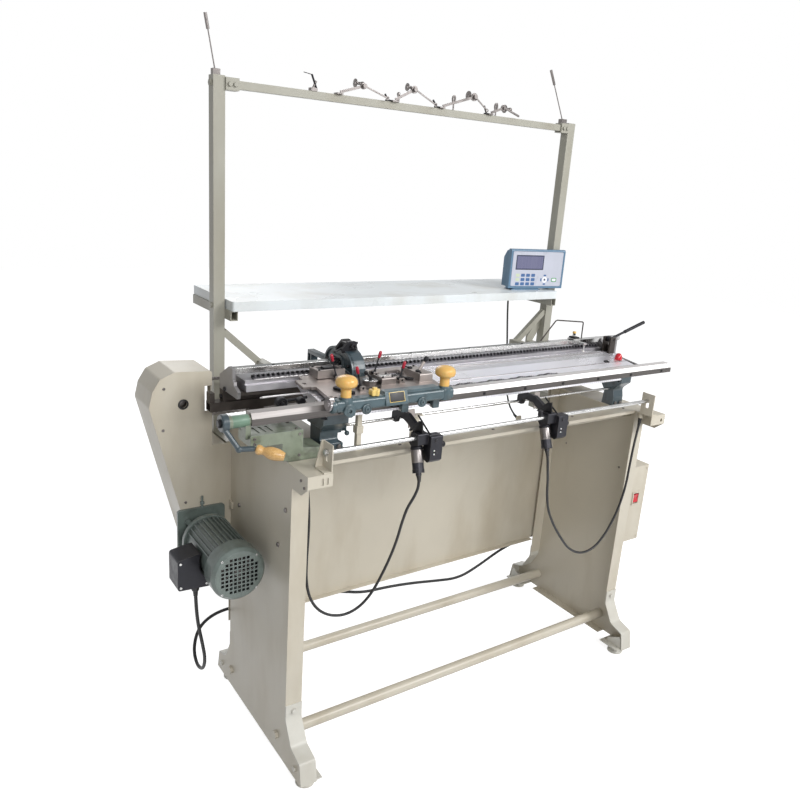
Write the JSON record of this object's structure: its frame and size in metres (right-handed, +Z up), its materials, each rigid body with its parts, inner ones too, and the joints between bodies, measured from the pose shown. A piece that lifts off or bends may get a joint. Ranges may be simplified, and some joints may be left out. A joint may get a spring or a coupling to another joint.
{
  "type": "flat knitting machine",
  "caption": "Floor-standing flat knitting machine: sheet-metal stand, twin needle beds, sliding cam carriage with hand knobs, belt drive, yarn rack, shelf and control pad.",
  "frame": {"origin": "middle of the machine's overall footprint on the floor", "axes": "+X to the right along the needle beds, +Y from the front of the machine to its rear, +Z up"},
  "size_m": [1.5707, 0.791, 1.7999],
  "materials": {
    "frame_paint": "satin",
    "foot_paint": "satin",
    "shelf_paint": "satin",
    "dark_paint": "satin",
    "guard_paint": "satin",
    "motor_paint": "satin",
    "casting_paint": "satin",
    "gearbox_paint": "satin",
    "ground_steel": "satin",
    "plated_steel": "gloss",
    "cast_iron": "matte",
    "rubber": "matte",
    "dark_plastic": "matte",
    "amber_plastic": "gloss",
    "cream_plastic": "gloss",
    "white_plastic": "matte",
    "red_plastic": "gloss",
    "case_blue": "matte",
    "panel_film": "satin",
    "turned_wood": "satin"
  },
  "bodies": {
    "frame": {"left_end_panel": "frame_paint", "right_end_panel": "frame_paint", "rear_panel": "frame_paint", "front_cross_rail": "frame_paint", "cap_plates": "frame_paint", "tie_tubes": "frame_paint", "foot_brackets": "foot_paint", "levelling_feet": "cast_iron", "posts": "frame_paint", "top_rail": "shelf_paint", "support_arms": "frame_paint", "antennas": "plated_steel", "tension_brackets": "plated_steel", "shelf": "shelf_paint", "controller_housing": "case_blue", "controller_panel": "panel_film", "belt_guard": "guard_paint", "motor_body": "motor_paint", "motor_fan_cover": "motor_paint", "terminal_box": "dark_paint", "motor_mount": "dark_paint", "drive_belt": "rubber", "drive_chain": "ground_steel", "bed_frame": "ground_steel", "front_needle_bed": "ground_steel", "front_slide_rail": "ground_steel", "feeder_rail": "plated_steel", "left_support": "casting_paint", "right_support": "casting_paint", "racking_gearbox": "gearbox_paint", "rods": "plated_steel", "rod_brackets": "frame_paint", "actuator_1": "dark_paint", "actuator_2": "dark_paint", "switch_box": "frame_paint", "motor_cable": "rubber", "signal_cables": "rubber"},
    "carriage": {"carriage_plate": "ground_steel", "handle_casting": "casting_paint", "bridge_arch": "casting_paint", "handle_knobs": "amber_plastic"},
    "upper_drive_shaft": {"drive_shaft": "ground_steel"},
    "motor_rotor_body": {"motor_rotor": "ground_steel"},
    "idler": {"idler_sprocket": "ground_steel"},
    "rear_bed": {"rear_needle_bed": "ground_steel", "needle_comb": "white_plastic"},
    "racking_handle": {"racking_crank": "dark_paint"},
    "racking_grip": {"crank_grip": "turned_wood"},
    "star": {"star_knob": "cream_plastic"},
    "knurled": {"knurled_knob": "ground_steel"},
    "lever_one": {"cam_lever_1": "red_plastic"},
    "lever_two": {"cam_lever_2": "red_plastic"},
    "lever_three": {"cam_lever_3": "red_plastic"},
    "lever_four": {"cam_lever_4": "red_plastic"},
    "take_up_one": {"take_up_arm_1": "plated_steel"},
    "take_up_two": {"take_up_arm_2": "plated_steel"},
    "take_up_three": {"take_up_arm_3": "plated_steel"},
    "power_rocker": {"rocker_switch": "red_plastic"},
    "side_lever": {"hand_lever": "dark_paint"},
    "feeder": {"yarn_feeder": "plated_steel"}
  },
  "joints": [
    {"name": "carriage_slide", "type": "slide", "parent": "frame", "child": "carriage", "axis": [1, 0, 0], "range_m": [-0.06, 0.73]},
    {"name": "drive_shaft_turn", "type": "hinge", "parent": "frame", "child": "upper_drive_shaft", "pos_m": [-0.7015, 0.0985, 0.874], "axis": [0, 1, 0], "range_deg": [-80, 952]},
    {"name": "motor_turn", "type": "hinge", "parent": "frame", "child": "motor_rotor_body", "pos_m": [-0.6565, -0.1015, 0.52], "axis": [0, 1, 0], "range_deg": [-210, 2525]},
    {"name": "idler_turn", "type": "hinge", "parent": "frame", "child": "idler", "pos_m": [0.6855, 0.0985, 0.874], "axis": [0, 1, 0], "range_deg": [-80, 952]},
    {"name": "racking_turn", "type": "hinge", "parent": "frame", "child": "racking_handle", "pos_m": [-0.7185, -0.2565, 0.924], "axis": [1, 0, 0], "range_deg": [-200, 0]},
    {"name": "racking_slide", "type": "slide", "parent": "frame", "child": "rear_bed", "axis": [1, 0, 0], "range_m": [-0.008, 0]},
    {"name": "grip_turn", "type": "hinge", "parent": "racking_handle", "child": "racking_grip", "pos_m": [-0.6635, -0.3015, 0.873], "axis": [0.7751, -0.6028, -0.1895], "continuous": true},
    {"name": "star_knob_turn", "type": "hinge", "parent": "carriage", "child": "star", "pos_m": [-0.3725, -0.3015, 0.97], "axis": [0, 0, 1], "continuous": true},
    {"name": "knurled_knob_turn", "type": "hinge", "parent": "carriage", "child": "knurled", "pos_m": [-0.4865, -0.2975, 0.953], "axis": [1, 0, 0], "continuous": true},
    {"name": "take_up_one_swing", "type": "hinge", "parent": "frame", "child": "take_up_one", "pos_m": [-0.1785, 0.1355, 1.672], "axis": [0, 1, 0], "range_deg": [-30, 15]},
    {"name": "take_up_two_swing", "type": "hinge", "parent": "frame", "child": "take_up_two", "pos_m": [-0.0155, 0.1355, 1.682], "axis": [0, 1, 0], "range_deg": [-30, 12]},
    {"name": "take_up_three_swing", "type": "hinge", "parent": "frame", "child": "take_up_three", "pos_m": [0.1975, 0.1355, 1.686], "axis": [0, 1, 0], "range_deg": [-30, 12]},
    {"name": "rocker_tilt", "type": "hinge", "parent": "frame", "child": "power_rocker", "pos_m": [0.6675, -0.2775, 0.502], "axis": [1, 0, 0], "range_deg": [-6, 6]},
    {"name": "side_lever_swing", "type": "hinge", "parent": "frame", "child": "side_lever", "pos_m": [0.6295, -0.1215, 0.996], "axis": [0, 1, 0], "range_deg": [-30, 4]},
    {"name": "feeder_slide", "type": "slide", "parent": "frame", "child": "feeder", "axis": [1, 0, 0], "range_m": [-0.06, 0.05]},
    {"name": "cam_lever_1_tilt", "type": "hinge", "parent": "carriage", "child": "lever_one", "pos_m": [-0.3895, -0.1515, 0.96945], "axis": [0, 1, 0], "range_deg": [-12, 12]},
    {"name": "cam_lever_2_tilt", "type": "hinge", "parent": "carriage", "child": "lever_two", "pos_m": [-0.2805, -0.1515, 0.96945], "axis": [0, 1, 0], "range_deg": [-12, 12]},
    {"name": "cam_lever_3_tilt", "type": "hinge", "parent": "carriage", "child": "lever_three", "pos_m": [-0.3625, -0.2235, 0.95989], "axis": [0, 1, 0], "range_deg": [-12, 12]},
    {"name": "cam_lever_4_tilt", "type": "hinge", "parent": "carriage", "child": "lever_four", "pos_m": [-0.2355, -0.2015, 0.96281], "axis": [0, 1, 0], "range_deg": [-12, 12]}
  ],
  "couplings": [
    {"joint": "drive_shaft_turn", "follows": "carriage_slide", "rad_per_m": 22.727},
    {"joint": "motor_turn", "follows": "carriage_slide", "rad_per_m": 60},
    {"joint": "idler_turn", "follows": "carriage_slide", "rad_per_m": 22.727},
    {"joint": "racking_turn", "follows": "racking_slide", "rad_per_m": 435}
  ]
}
